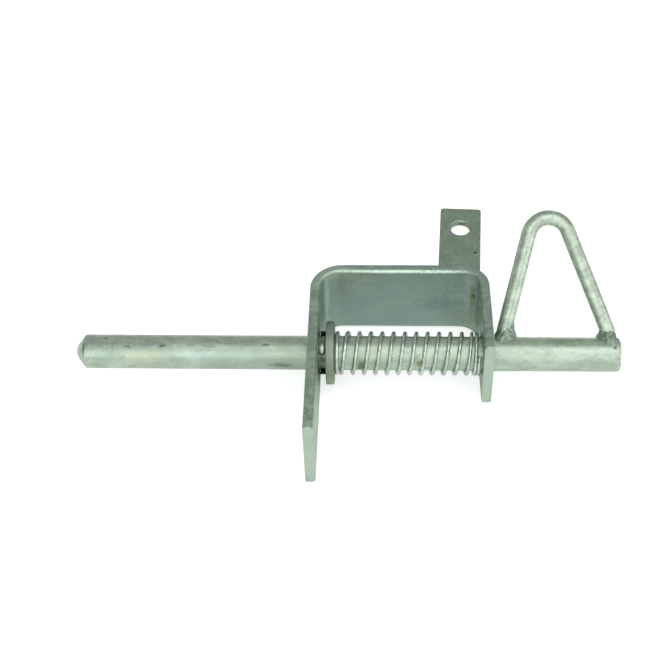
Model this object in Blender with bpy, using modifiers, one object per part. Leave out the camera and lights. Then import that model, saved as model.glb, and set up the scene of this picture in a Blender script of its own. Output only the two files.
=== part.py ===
"""Spring gate latch: a round bolt sliding in a bent flat-bar bracket, pushed home by a coil spring.

Units are metres. +X runs along the bolt towards the handle, +Y to the back of the bracket, +Z up.
The origin is the middle of the web's lower edge, and the bracket's edges rest on Z = 0.
"""
import math

import bmesh
import bpy
from mathutils import Matrix, Vector

MM = 0.001

# Bracket: one strip of flat bar, bent twice
STRIP_WIDTH = 40.0 * MM
STRIP_THICKNESS = 4.8 * MM
STRIP_EDGE_ROUND = 0.7 * MM
INSIDE_WIDTH = 77.35 * MM
WEB_TO_BOLT = 35.2 * MM
LONG_LEG_REACH = 62.1 * MM
SHORT_LEG_REACH = 13.8 * MM
LONG_BEND_RADIUS = 9.8 * MM
SHORT_BEND_RADIUS = 7.8 * MM
SHORT_LEG_SPLAY = math.radians(1.6)

# Lug: a lighter flat bar behind the web
LUG_WIDTH = 20.3 * MM
LUG_THICKNESS = 3.0 * MM
LUG_REACH = 40.9 * MM
LUG_DROP = 1.0 * MM
LUG_SIDE_INSET = 4.8 * MM
LUG_SWING = math.radians(2.5)
LUG_HOLE_DIAMETER = 9.3 * MM
LUG_HOLE_INSET = 13.95 * MM
LUG_CORNER_ROUND = 1.3 * MM
LUG_EDGE_ROUND = 0.4 * MM
LUG_WELD_SIZE = 2.6 * MM

# Bolt
BOLT_DIAMETER = 16.3 * MM
NOSE_REACH = 112.2 * MM
TAIL_REACH = 60.7 * MM
NOSE_TIP_RADIUS = 6.35 * MM
NOSE_SLOPE = math.radians(37.5)
TAIL_ROUND = 1.35 * MM

# Split pin
PIN_SIZE = 2.85 * MM
PIN_SPLIT = 0.3 * MM
PIN_EYE_WIDTH = 6.05 * MM
PIN_EYE_LENGTH = 5.85 * MM
PIN_ANGLE = math.radians(122.5)
PIN_PRONG_WRAP = math.radians(84.0)
PIN_PRONG_BEND = 2.35 * MM
PIN_PRONG_STANDOFF = 0.6 * MM

# Washer
WASHER_DIAMETER = 30.4 * MM
WASHER_THICKNESS = 3.8 * MM
WASHER_EDGE_ROUND = 0.7 * MM

# Spring
SPRING_WIRE = 1.85 * MM
SPRING_TURNS = 14.2
SPRING_FLAT_TURNS = 0.1
SPRING_CLOSED_TURNS = 1.0
SPRING_OPENING_TURNS = 1.0
SPRING_RAMP_TURNS = 1.4
SPRING_CLOSED_GAP = 0.05 * MM
SPRING_END_ANGLE = math.radians(144.0)

# Handle: round bar bent to a loop
HANDLE_BAR = 7.25 * MM
HANDLE_SPREAD = 51.05 * MM
HANDLE_HEIGHT = 65.05 * MM
HANDLE_BEND_RADIUS = 9.7 * MM
HANDLE_PEAK_SHIFT = 3.9 * MM
HANDLE_END_INSET = 4.4 * MM
HANDLE_LIFT = math.radians(42.0)

# Weld mounds at the handle's feet
WELD_TOE = 2.2 * MM
WELD_SIDE_TOE = 1.9 * MM
WELD_CLIMB = 6.3 * MM
WELD_EDGE_INSET = 0.3 * MM
WELD_RIPPLE = 0.25 * MM

# Clearances
HOLE_CLEARANCE = 0.5 * MM
PIN_HOLE_CLEARANCE = 0.5 * MM
SPRING_CLEARANCE = 0.55 * MM
SEAT_GAP = 0.3 * MM

# Mesh fineness
BOLT_STEPS = 64
BORE_STEPS = 48
BEND_STEPS = 12
COIL_STEPS = 20
HANDLE_BEND_STEPS = 16
DOME_STEPS = 6
ROUND_SEGMENTS = 2
MERGE_DISTANCE = 0.00001
CUT_MARGIN = 5.0 * MM

# Places worked out from the sizes above
BOLT_RADIUS = BOLT_DIAMETER / 2
WEB_OUTER_Y = STRIP_THICKNESS / 2
BOLT_Y = -WEB_OUTER_Y - WEB_TO_BOLT
BOLT_Z = STRIP_WIDTH / 2
LONG_LEG_INNER_X = -INSIDE_WIDTH / 2
LONG_LEG_OUTER_X = LONG_LEG_INNER_X - STRIP_THICKNESS
SHORT_LEG_INNER_X = INSIDE_WIDTH / 2
SHORT_LEG_OUTER_X = SHORT_LEG_INNER_X + STRIP_THICKNESS / math.cos(SHORT_LEG_SPLAY)
NOSE_X = LONG_LEG_OUTER_X - NOSE_REACH
TAIL_X = SHORT_LEG_OUTER_X + TAIL_REACH
PIN_X = LONG_LEG_INNER_X + SEAT_GAP + PIN_SIZE / 2
WASHER_LEFT_X = PIN_X + PIN_SIZE / 2 + SEAT_GAP
WASHER_RIGHT_X = WASHER_LEFT_X + WASHER_THICKNESS
COIL_RADIUS = BOLT_RADIUS + SPRING_CLEARANCE + SPRING_WIRE / 2
LUG_TOP_Z = STRIP_WIDTH - LUG_DROP
LUG_RIGHT_X = SHORT_LEG_OUTER_X - LUG_SIDE_INSET
LUG_MIDDLE_X = LUG_RIGHT_X - LUG_WIDTH / 2
HANDLE_OUTER_FOOT_X = TAIL_X - HANDLE_END_INSET
HANDLE_INNER_FOOT_X = HANDLE_OUTER_FOOT_X - HANDLE_SPREAD


def clear_scene():
    for obj in list(bpy.data.objects):
        bpy.data.objects.remove(obj, do_unlink=True)


def new_collection(name):
    collection = bpy.data.collections.new(name)
    bpy.context.scene.collection.children.link(collection)
    return collection


def zinc(name, colour, roughness, metallic=0.85):
    material = bpy.data.materials.new(name)
    material.use_nodes = True
    shader = material.node_tree.nodes["Principled BSDF"]
    shader.inputs["Base Color"].default_value = (*colour, 1.0)
    shader.inputs["Roughness"].default_value = roughness
    shader.inputs["Metallic"].default_value = metallic
    return material


def add_object(name, data, collection, material=None):
    obj = bpy.data.objects.new(name, data)
    collection.objects.link(obj)
    if material:
        data.materials.append(material)
    return obj


def as_cutter(obj):
    obj.hide_render = True
    obj.display_type = "WIRE"
    return obj


def mesh_from_bmesh(name, bm):
    mesh = bpy.data.meshes.new(name)
    bm.to_mesh(mesh)
    bm.free()
    return mesh


def shade_round(mesh, angle=math.radians(35)):
    mesh.shade_smooth()
    mesh.set_sharp_from_angle(angle=angle)


def cut(obj, cutter):
    boolean = obj.modifiers.new("cut " + cutter.name, "BOOLEAN")
    boolean.operation = "DIFFERENCE"
    boolean.solver = "EXACT"
    boolean.object = cutter
    return boolean


def bevel_edges(obj, width, segments=ROUND_SEGMENTS):
    bevel = obj.modifiers.new("rounded edges", "BEVEL")
    bevel.width = width
    bevel.segments = segments
    bevel.limit_method = "ANGLE"
    bevel.angle_limit = math.radians(40)
    return bevel


def cylinder_mesh(name, radius, length, steps):
    """A cylinder along Z, centred on the origin."""
    bm = bmesh.new()
    bmesh.ops.create_cone(bm, cap_ends=True, segments=steps, radius1=radius, radius2=radius, depth=length)
    return mesh_from_bmesh(name, bm)


def along_x():
    """Turns an object's local Z to the world's X."""
    return (0.0, math.pi / 2, 0.0)


def poly_curve(name, points, radius, resolution, cyclic=False):
    """A round tube along the points."""
    curve = bpy.data.curves.new(name, "CURVE")
    curve.dimensions = "3D"
    curve.bevel_depth = radius
    curve.bevel_resolution = resolution
    curve.use_fill_caps = True
    spline = curve.splines.new("POLY")
    spline.points.add(len(points) - 1)
    for point, place in zip(spline.points, points):
        point.co = (*place, 1.0)
    spline.use_cyclic_u = cyclic
    return curve


def filled_outline(name, points, height):
    """A flat outline in XY, thickened evenly about Z = 0."""
    curve = bpy.data.curves.new(name, "CURVE")
    curve.dimensions = "2D"
    curve.fill_mode = "BOTH"
    curve.extrude = height / 2
    spline = curve.splines.new("POLY")
    spline.points.add(len(points) - 1)
    for point, (x, y) in zip(spline.points, points):
        point.co = (x, y, 0.0, 1.0)
    spline.use_cyclic_u = True
    return curve


def curve_to_mesh(obj, collection):
    """Replaces a curve object by a mesh object with welded caps, at the same place."""
    evaluated = obj.evaluated_get(bpy.context.evaluated_depsgraph_get())
    mesh = bpy.data.meshes.new_from_object(evaluated)
    bm = bmesh.new()
    bm.from_mesh(mesh)
    bmesh.ops.remove_doubles(bm, verts=bm.verts, dist=MERGE_DISTANCE)
    bmesh.ops.recalc_face_normals(bm, faces=bm.faces)
    bm.to_mesh(mesh)
    bm.free()
    name = obj.name
    world = obj.matrix_world.copy()
    bpy.data.objects.remove(obj, do_unlink=True)
    made = bpy.data.objects.new(name, mesh)
    collection.objects.link(made)
    made.matrix_world = world
    return made


def turned(name, profile, steps, collection, material, closed=False):
    """A solid of revolution about its local Z, from (radius, height) points listed down the outer side."""
    bm = bmesh.new()
    corners = [bm.verts.new((radius, 0.0, height)) for radius, height in profile]
    for first, second in zip(corners, corners[1:]):
        bm.edges.new((first, second))
    if closed:
        bm.edges.new((corners[-1], corners[0]))
    obj = add_object(name, mesh_from_bmesh(name, bm), collection, material)
    screw = obj.modifiers.new("turned", "SCREW")
    screw.steps = steps
    screw.render_steps = steps
    screw.use_merge_vertices = True
    screw.merge_threshold = MERGE_DISTANCE
    screw.use_smooth_shade = True
    return obj


def arc(centre, radius, start, end, steps):
    """Points on a circle from one angle to another, both ends included."""
    return [
        (
            centre[0] + radius * math.cos(start + (end - start) * i / steps),
            centre[1] + radius * math.sin(start + (end - start) * i / steps),
        )
        for i in range(steps + 1)
    ]


def short_bend_centre():
    """Centre of the short leg's bend, placed so that the leg crosses the bolt's axis at the inside width."""
    radius = SHORT_BEND_RADIUS + STRIP_THICKNESS / 2
    turn = math.pi / 2 - SHORT_LEG_SPLAY
    leg_middle_x = SHORT_LEG_INNER_X + STRIP_THICKNESS / 2 / math.cos(SHORT_LEG_SPLAY)
    centre_y = -radius
    bend_end_y = centre_y + radius * math.cos(turn)
    lean = (bend_end_y - BOLT_Y) * math.tan(SHORT_LEG_SPLAY)
    return leg_middle_x - lean - radius * math.sin(turn), centre_y


def strip_line(offset=0.0):
    """Plan view of the strip's middle line, or of a line that lies outside it by the offset."""
    long_radius = LONG_BEND_RADIUS + STRIP_THICKNESS / 2
    long_centre = (LONG_LEG_INNER_X - STRIP_THICKNESS / 2 + long_radius, -long_radius)
    short_radius = SHORT_BEND_RADIUS + STRIP_THICKNESS / 2
    short_centre = short_bend_centre()
    long_bend = arc(long_centre, long_radius + offset, math.pi, math.pi / 2, BEND_STEPS)
    short_bend = arc(short_centre, short_radius + offset, math.pi / 2, SHORT_LEG_SPLAY, BEND_STEPS)
    long_end = (long_bend[0][0], BOLT_Y - LONG_LEG_REACH)
    bend_x, bend_y = short_bend[-1]
    run = (bend_y - BOLT_Y + SHORT_LEG_REACH) / math.cos(SHORT_LEG_SPLAY)
    short_end = (
        bend_x + run * math.sin(SHORT_LEG_SPLAY),
        bend_y - run * math.cos(SHORT_LEG_SPLAY),
    )
    return [long_end, *long_bend, *short_bend, short_end]


def make_bracket(parts, cutters):
    """The strip's middle surface, given its thickness, its soft edges and the two bolt holes."""
    bm = bmesh.new()
    lower = [bm.verts.new((x, y, 0.0)) for x, y in strip_line()]
    edges = [bm.edges.new(pair) for pair in zip(lower, lower[1:])]
    raised = bmesh.ops.extrude_edge_only(bm, edges=edges)
    upper = [item for item in raised["geom"] if isinstance(item, bmesh.types.BMVert)]
    bmesh.ops.translate(bm, verts=upper, vec=(0.0, 0.0, STRIP_WIDTH))
    bracket = add_object("bracket", mesh_from_bmesh("bracket", bm), parts, zinc("zinc_bracket", (0.55, 0.60, 0.55), 0.5))
    shade_round(bracket.data)
    solidify = bracket.modifiers.new("strip thickness", "SOLIDIFY")
    solidify.thickness = STRIP_THICKNESS
    solidify.offset = 0.0
    solidify.use_even_offset = True
    bevel_edges(bracket, STRIP_EDGE_ROUND)
    drill_length = INSIDE_WIDTH + 2 * STRIP_THICKNESS + 2 * CUT_MARGIN
    drill = add_object(
        "bolt_hole_drill",
        cylinder_mesh("bolt_hole_drill", BOLT_RADIUS + HOLE_CLEARANCE, drill_length, BORE_STEPS),
        cutters,
    )
    drill.location = (0.0, BOLT_Y, BOLT_Z)
    drill.rotation_euler = along_x()
    cut(bracket, as_cutter(drill))
    return bracket


def make_lug(parts, cutters):
    """A flat bar with one hole, its near end coped to the back of the strip."""
    root_y = WEB_OUTER_Y - CUT_MARGIN
    length = LUG_REACH + CUT_MARGIN
    bm = bmesh.new()
    bmesh.ops.create_cube(bm, size=1.0)
    bmesh.ops.scale(bm, verts=bm.verts, vec=(LUG_WIDTH, length, LUG_THICKNESS))
    bmesh.ops.translate(bm, verts=bm.verts, vec=(0.0, length / 2 - CUT_MARGIN, -LUG_THICKNESS / 2))
    corners = [
        edge
        for edge in bm.edges
        if all(vert.co.y > 0 for vert in edge.verts) and edge.verts[0].co.x == edge.verts[1].co.x
        and abs(edge.verts[0].co.z - edge.verts[1].co.z) > LUG_THICKNESS / 2
    ]
    bmesh.ops.bevel(
        bm, geom=corners, offset=LUG_CORNER_ROUND, segments=4, profile=0.5, affect="EDGES", material=-1
    )
    lug = add_object("lug", mesh_from_bmesh("lug", bm), parts, zinc("zinc_lug", (0.50, 0.56, 0.50), 0.55))
    lug.location = (LUG_MIDDLE_X, root_y + CUT_MARGIN, LUG_TOP_Z)
    lug.rotation_euler = (0.0, 0.0, -LUG_SWING)
    shade_round(lug.data)

    hole = add_object(
        "lug_hole_punch",
        cylinder_mesh("lug_hole_punch", LUG_HOLE_DIAMETER / 2, LUG_THICKNESS + 2 * CUT_MARGIN, BORE_STEPS),
        cutters,
    )
    hole_reach = LUG_REACH - LUG_HOLE_INSET
    hole.location = lug.location + Vector(
        (hole_reach * math.sin(LUG_SWING), hole_reach * math.cos(LUG_SWING), -LUG_THICKNESS / 2)
    )
    cut(lug, as_cutter(hole))
    bevel_edges(lug, LUG_EDGE_ROUND)

    cope_line = strip_line(STRIP_THICKNESS / 2 + SEAT_GAP)
    cope = add_object("lug_cope", filled_outline("lug_cope", cope_line, STRIP_WIDTH + 2 * CUT_MARGIN), cutters)
    cope.location = (0.0, 0.0, STRIP_WIDTH / 2)
    bpy.context.view_layer.update()
    cut(lug, as_cutter(curve_to_mesh(cope, cutters)))
    return lug


def make_lug_weld(parts):
    """A fillet bead in the corner under the lug, along the back of the strip."""
    radius = LUG_WELD_SIZE / 2
    offset = STRIP_THICKNESS / 2 + SEAT_GAP + radius
    height = LUG_TOP_Z - LUG_THICKNESS - SEAT_GAP - radius
    centre = short_bend_centre()
    bend_radius = SHORT_BEND_RADIUS + STRIP_THICKNESS / 2 + offset
    reach = min(max((LUG_RIGHT_X - centre[0]) / bend_radius, 0.0), 0.95)
    turned_by = math.asin(reach)
    line = [(LUG_RIGHT_X - LUG_WIDTH, offset)]
    line += arc(centre, bend_radius, math.pi / 2, math.pi / 2 - turned_by, BEND_STEPS)
    points = [(x, y, height) for x, y in line]
    return add_object(
        "lug_weld", poly_curve("lug_weld", points, radius, 3), parts, zinc("zinc_lug_weld", (0.50, 0.55, 0.50), 0.6)
    )


def bolt_profile():
    """Half outline of the bolt, from the middle of its tail to the rounded tip of its cone-shaped nose."""
    tail = [(0.0, TAIL_X)]
    tail += arc((BOLT_RADIUS - TAIL_ROUND, TAIL_X - TAIL_ROUND), TAIL_ROUND, math.pi / 2, 0.0, ROUND_SEGMENTS + 1)
    tip = [
        (NOSE_TIP_RADIUS * math.sin(lean), NOSE_X + NOSE_TIP_RADIUS * (1 - math.cos(lean)))
        for lean in (NOSE_SLOPE * (1 - i / DOME_STEPS) for i in range(DOME_STEPS))
    ]
    cone_radius, cone_x = tip[0]
    shoulder = (BOLT_RADIUS, cone_x + (BOLT_RADIUS - cone_radius) * math.tan(NOSE_SLOPE))
    return [*tail, shoulder, *tip, (0.0, NOSE_X)]


def make_bolt(parts, cutters, axis):
    bolt = turned("bolt", bolt_profile(), BOLT_STEPS, parts, zinc("zinc_bolt", (0.62, 0.67, 0.62), 0.4))
    bolt.parent = axis
    bolt.rotation_euler = along_x()
    drill = add_object(
        "pin_hole_drill",
        cylinder_mesh("pin_hole_drill", PIN_SIZE / 2 + PIN_HOLE_CLEARANCE, BOLT_DIAMETER + 2 * CUT_MARGIN, BORE_STEPS),
        cutters,
    )
    drill.parent = axis
    drill.location = (PIN_X, 0.0, 0.0)
    drill.rotation_euler = (PIN_ANGLE - math.pi / 2, 0.0, 0.0)
    cut(bolt, as_cutter(drill))
    return bolt


def pin_path():
    """The pin's flat inner side, in its own plane: X along the pin towards its eye, Y across it.

    It runs from one bent prong through the bolt, round the eye, back through the bolt and into the other prong.
    """
    lane = PIN_SPLIT / 2
    wrap_radius = BOLT_RADIUS + PIN_PRONG_STANDOFF + PIN_SIZE / 2
    bend = PIN_PRONG_BEND
    bend_y = lane + bend
    bend_x = -math.sqrt(max((wrap_radius - bend) ** 2 - bend_y**2, 0.0))
    meet = math.atan2(bend_y, bend_x)
    prong = arc((0.0, 0.0), wrap_radius, PIN_PRONG_WRAP, meet, 10)
    prong += arc((bend_x, bend_y), bend, meet, 1.5 * math.pi, 6)[1:]
    eye_inner = PIN_EYE_WIDTH / 2 - PIN_SIZE / 2
    eye_start = BOLT_RADIUS + PIN_PRONG_STANDOFF
    eye_end = eye_start + PIN_EYE_LENGTH - PIN_SIZE / 2
    shoulder = eye_end - eye_inner
    side = []
    steps = 6
    for i in range(steps + 1):
        share = i / steps
        swell = lane + (eye_inner - lane) * (3 * share**2 - 2 * share**3)
        side.append((eye_start + (shoulder - eye_start) * share, swell))
    crown = arc((shoulder, 0.0), eye_inner, math.pi / 2, 0.0, 6)[1:]
    half = prong + side + crown
    return half + [(x, -y) for x, y in reversed(half[:-1])]


def make_split_pin(parts, cutters, axis):
    """Half-round wire folded to an eye, its two prongs bent round the back of the bolt."""
    radius = PIN_SIZE / 2
    section = bpy.data.curves.new("pin_section", "CURVE")
    section.dimensions = "2D"
    outline = section.splines.new("POLY")
    rim = arc((0.0, 0.0), radius, -math.pi / 2, math.pi / 2, 8)
    outline.points.add(len(rim) - 1)
    for point, (x, y) in zip(outline.points, rim):
        point.co = (-x, y, 0.0, 1.0)
    outline.use_cyclic_u = True
    guide = as_cutter(add_object("pin_section", section, cutters))

    path = bpy.data.curves.new("split_pin", "CURVE")
    path.dimensions = "2D"
    path.fill_mode = "NONE"
    path.bevel_mode = "OBJECT"
    path.bevel_object = guide
    path.use_fill_caps = True
    spline = path.splines.new("POLY")
    places = pin_path()
    spline.points.add(len(places) - 1)
    for point, (x, y) in zip(spline.points, places):
        point.co = (x, y, 0.0, 1.0)
    pin = add_object("split_pin", path, parts, zinc("zinc_pin", (0.60, 0.63, 0.58), 0.45))
    pin.parent = axis
    along = Vector((0.0, math.cos(PIN_ANGLE), math.sin(PIN_ANGLE)))
    across = Vector((0.0, math.sin(PIN_ANGLE), -math.cos(PIN_ANGLE)))
    turn = Matrix((along, across, along.cross(across))).transposed()
    pin.location = (PIN_X, 0.0, 0.0)
    pin.rotation_euler = turn.to_euler()
    return pin


def make_washer(parts):
    inner = BOLT_RADIUS + HOLE_CLEARANCE
    outer = WASHER_DIAMETER / 2
    half = WASHER_THICKNESS / 2
    round_off = WASHER_EDGE_ROUND
    profile = [(inner, half)]
    profile += arc((outer - round_off, half - round_off), round_off, math.pi / 2, 0.0, ROUND_SEGMENTS)
    profile += arc((outer - round_off, round_off - half), round_off, 0.0, -math.pi / 2, ROUND_SEGMENTS)
    profile += [(inner, -half)]
    washer = turned(
        "washer", profile, BOLT_STEPS, parts, zinc("zinc_washer", (0.55, 0.58, 0.53), 0.5), closed=True
    )
    washer.location = ((WASHER_LEFT_X + WASHER_RIGHT_X) / 2, BOLT_Y, BOLT_Z)
    washer.rotation_euler = along_x()
    return washer


def smooth_step(share):
    share = min(max(share, 0.0), 1.0)
    return 3 * share**2 - 2 * share**3


def coil_advances():
    """How far along the bolt the wire has come at each point, from the washer to the short leg.

    The first part of a turn lies flat on the washer, the last turn closes up on the leg, and the
    turns between share the rest of the length.
    """
    wire = SPRING_WIRE
    start = WASHER_RIGHT_X + SEAT_GAP + wire / 2
    end = SHORT_LEG_INNER_X - SEAT_GAP - wire / 2
    count = round(SPRING_TURNS * COIL_STEPS)
    step = 1 / COIL_STEPS
    closed_pitch = wire + SPRING_CLOSED_GAP
    opened = []
    closed = []
    for i in range(count):
        turn = (i + 0.5) * step
        opening = smooth_step((turn - SPRING_FLAT_TURNS) / SPRING_OPENING_TURNS)
        left = SPRING_TURNS - SPRING_CLOSED_TURNS - turn
        closing = smooth_step(left / SPRING_RAMP_TURNS)
        opened.append(opening * closing * step)
        closed.append((1 - closing) * closed_pitch * step)
    pitch = (end - start - sum(closed)) / sum(opened)
    places = [start]
    for open_share, closed_share in zip(opened, closed):
        places.append(places[-1] + pitch * open_share + closed_share)
    return places


def make_spring(parts):
    """Left-hand compression spring between the washer and the short leg."""
    points = []
    places = coil_advances()
    for i, x in enumerate(places):
        angle = SPRING_END_ANGLE + 2 * math.pi * (len(places) - 1 - i) / COIL_STEPS
        points.append((x, BOLT_Y + COIL_RADIUS * math.cos(angle), BOLT_Z + COIL_RADIUS * math.sin(angle)))
    return add_object(
        "spring", poly_curve("spring", points, SPRING_WIRE / 2, 2), parts, zinc("zinc_spring", (0.70, 0.73, 0.68), 0.25)
    )


def handle_line(foot_gap):
    """The loop's middle line in its own plane, with the bolt's axis as X: (feet and bend points, foot directions).

    Each foot is cut square and stands on the bolt with its lower corner foot_gap off the surface.
    """
    middle_x = (HANDLE_INNER_FOOT_X + HANDLE_OUTER_FOOT_X) / 2
    centre = Vector((middle_x - HANDLE_PEAK_SHIFT, HANDLE_HEIGHT - HANDLE_BEND_RADIUS))
    feet = []
    angles = []
    for foot_x, side in ((HANDLE_INNER_FOOT_X, -1), (HANDLE_OUTER_FOOT_X, 1)):
        foot = Vector((foot_x, BOLT_RADIUS))
        span = foot - centre
        tangent_share = math.acos(HANDLE_BEND_RADIUS / span.length)
        bearing = math.atan2(span.y, span.x)
        tangent_angle = bearing + side * tangent_share
        tangent = centre + HANDLE_BEND_RADIUS * Vector((math.cos(tangent_angle), math.sin(tangent_angle)))
        direction = (tangent - foot).normalized()
        lift = foot_gap + HANDLE_BAR / 2 * abs(direction.x)
        feet.append(foot + direction * (lift / direction.y))
        angles.append(tangent_angle)
    start, end = angles
    start %= 2 * math.pi
    bend = arc(tuple(centre), HANDLE_BEND_RADIUS, start, end, HANDLE_BEND_STEPS)
    return [tuple(feet[0]), *bend, tuple(feet[1])]


def handle_curve(name, radius, foot_gap, resolution):
    points = [(x, out, 0.0) for x, out in handle_line(foot_gap)]
    return poly_curve(name, points, radius, resolution)


def make_handle(parts, axis):
    """Round bar bent to a lopsided triangle, standing on the bolt with both feet."""
    handle = add_object(
        "handle", handle_curve("handle", HANDLE_BAR / 2, SEAT_GAP, 5), parts, zinc("zinc_handle", (0.60, 0.65, 0.60), 0.42)
    )
    handle.parent = axis
    handle.rotation_euler = (HANDLE_LIFT, 0.0, 0.0)
    return handle


def weld_mound(name, low_x, high_x, lean, seed):
    """A lumpy ellipsoid over one foot, in the handle's plane, leaning as the bar does."""
    bm = bmesh.new()
    bmesh.ops.create_uvsphere(bm, u_segments=28, v_segments=14, radius=1.0)
    half_x = (high_x - low_x) / 2
    half_z = HANDLE_BAR / 2 + WELD_SIDE_TOE
    for vert in bm.verts:
        x, y, z = vert.co
        ripple = 1 + WELD_RIPPLE / half_x * (math.sin(5 * math.atan2(z, x) + seed) + 0.6 * math.sin(7 * y + 2 * seed))
        climb = y * WELD_CLIMB
        vert.co = (x * half_x * ripple + climb * lean, climb, z * half_z * ripple)
    bmesh.ops.translate(bm, verts=bm.verts, vec=((low_x + high_x) / 2, BOLT_RADIUS, 0.0))
    return mesh_from_bmesh(name, bm)


def make_handle_welds(parts, cutters, axis):
    """One mound of weld at each foot, clear of the bar that it holds and of the bolt under it."""
    root = -BOLT_RADIUS / 2
    bar = add_object("bar_clearance", handle_curve("bar_clearance", HANDLE_BAR / 2 + SEAT_GAP, root, 4), cutters)
    bar.parent = axis
    bar.rotation_euler = (HANDLE_LIFT, 0.0, 0.0)
    bpy.context.view_layer.update()
    bar = as_cutter(curve_to_mesh(bar, cutters))
    shaft = add_object(
        "bolt_clearance",
        cylinder_mesh("bolt_clearance", BOLT_RADIUS + SEAT_GAP, TAIL_X - NOSE_X, BOLT_STEPS),
        cutters,
    )
    shaft.parent = axis
    shaft.location = ((TAIL_X + NOSE_X) / 2 + CUT_MARGIN, 0.0, 0.0)
    shaft.rotation_euler = along_x()
    as_cutter(shaft)

    half_bar = HANDLE_BAR / 2
    line = handle_line(0.0)
    feet = (
        ("handle_weld_inner", line[0], line[1], half_bar - WELD_EDGE_INSET, half_bar + WELD_TOE, 0.4),
        ("handle_weld_outer", line[-1], line[-2], half_bar + WELD_TOE, half_bar - WELD_EDGE_INSET, 2.1),
    )
    for name, foot, bend, room_low, room_high, seed in feet:
        lean = (bend[0] - foot[0]) / (bend[1] - foot[1])
        mound = weld_mound(name, foot[0] - room_low, foot[0] + room_high, lean, seed)
        weld = add_object(name, mound, parts, zinc("zinc_" + name, (0.55, 0.60, 0.55), 0.5))
        shade_round(weld.data)
        weld.parent = axis
        weld.rotation_euler = (HANDLE_LIFT, 0.0, 0.0)
        cut(weld, shaft)
        cut(weld, bar)


def main():
    clear_scene()
    parts = new_collection("spring_gate_latch")
    cutters = new_collection("cutters")
    axis = bpy.data.objects.new("bolt_axis", None)
    parts.objects.link(axis)
    axis.location = (0.0, BOLT_Y, BOLT_Z)

    make_bracket(parts, cutters)
    make_lug(parts, cutters)
    make_lug_weld(parts)
    make_bolt(parts, cutters, axis)
    make_split_pin(parts, cutters, axis)
    make_washer(parts)
    make_spring(parts)
    make_handle(parts, axis)
    make_handle_welds(parts, cutters, axis)


main()
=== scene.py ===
"""Spring gate latch, dressed: galvanised bar, flat bar, a bright spring and its pin, on a white table."""
import math

import bmesh
import bpy
from mathutils import Matrix, Vector, noise


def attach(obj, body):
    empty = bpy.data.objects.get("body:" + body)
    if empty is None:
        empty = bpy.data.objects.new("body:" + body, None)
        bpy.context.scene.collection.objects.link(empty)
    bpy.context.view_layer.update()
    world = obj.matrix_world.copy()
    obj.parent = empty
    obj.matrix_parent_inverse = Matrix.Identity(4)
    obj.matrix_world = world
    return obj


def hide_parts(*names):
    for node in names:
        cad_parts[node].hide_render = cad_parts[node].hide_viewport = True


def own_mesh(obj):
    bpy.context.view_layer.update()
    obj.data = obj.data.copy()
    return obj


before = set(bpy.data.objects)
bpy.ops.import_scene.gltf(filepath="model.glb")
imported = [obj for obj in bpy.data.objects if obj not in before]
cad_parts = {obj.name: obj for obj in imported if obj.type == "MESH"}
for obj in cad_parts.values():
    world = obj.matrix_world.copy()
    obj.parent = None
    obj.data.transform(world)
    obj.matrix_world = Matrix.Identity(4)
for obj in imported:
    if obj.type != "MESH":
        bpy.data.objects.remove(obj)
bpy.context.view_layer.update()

MM = 0.001


def mm(x, y, z):
    """A place, or three sizes, given in millimetres."""
    return (x * MM, y * MM, z * MM)


# Camera
CAMERA_PLACE = Vector((-3.841, -509.710, 556.230)) * MM
CAMERA_RIGHT = Vector((0.99917812, 0.03151806, -0.02548897))
CAMERA_UP = Vector((-0.0062621, 0.74128993, 0.67115574))
CAMERA_BACK = Vector((0.04004824, -0.67044452, 0.74087805))
CAMERA_SENSOR = 36.0
PHOTO_FOCAL_PIXELS = 1491.85
PHOTO_SIDE_PIXELS = 665
CAMERA_LENS = CAMERA_SENSOR * PHOTO_FOCAL_PIXELS / PHOTO_SIDE_PIXELS

# Strip of the bracket
STRIP_WIDTH = 40.0 * MM
STRIP_THICKNESS = 4.8 * MM
STRIP_INNER_ROUND = 1.6 * MM
STRIP_OUTER_ROUND = 0.9 * MM
STRIP_END_ROUND = 0.5 * MM
STRIP_STEP = 1.3 * MM
STRIP_CAP_INSET = 0.3 * MM
DRILL_OVERSHOOT = 5.0 * MM
INSIDE_HALF = 38.675 * MM
LONG_LEG_END_Y = -99.7 * MM
SHORT_LEG_END_Y = -51.4 * MM
LONG_BEND_RADIUS = 9.8 * MM
SHORT_BEND_RADIUS = 7.8 * MM
SHORT_LEG_SPLAY = math.radians(1.6)
BEND_SWELL = 0.5 * MM
BEND_SWELL_DEPTH = 5.0 * MM
BEND_SWELL_RUN_ON = 0.25
BEND_SWELL_FADE = 1.7

# Bolt
BOLT_Y = -37.6 * MM
BOLT_Z = 20.0 * MM
BOLT_RADIUS = 8.15 * MM
NOSE_X = -155.675 * MM
NOSE_SHOULDER_ROUND = 1.4 * MM
NOSE_TIP_RADIUS = 6.35 * MM
NOSE_SLOPE = math.radians(37.5)
TAIL_X = 104.177 * MM
TAIL_ROUND = 1.35 * MM
BOLT_RINGS = 200
HOLE_RADIUS = 8.65 * MM
HOLE_CHAMFER = 0.4 * MM

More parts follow.
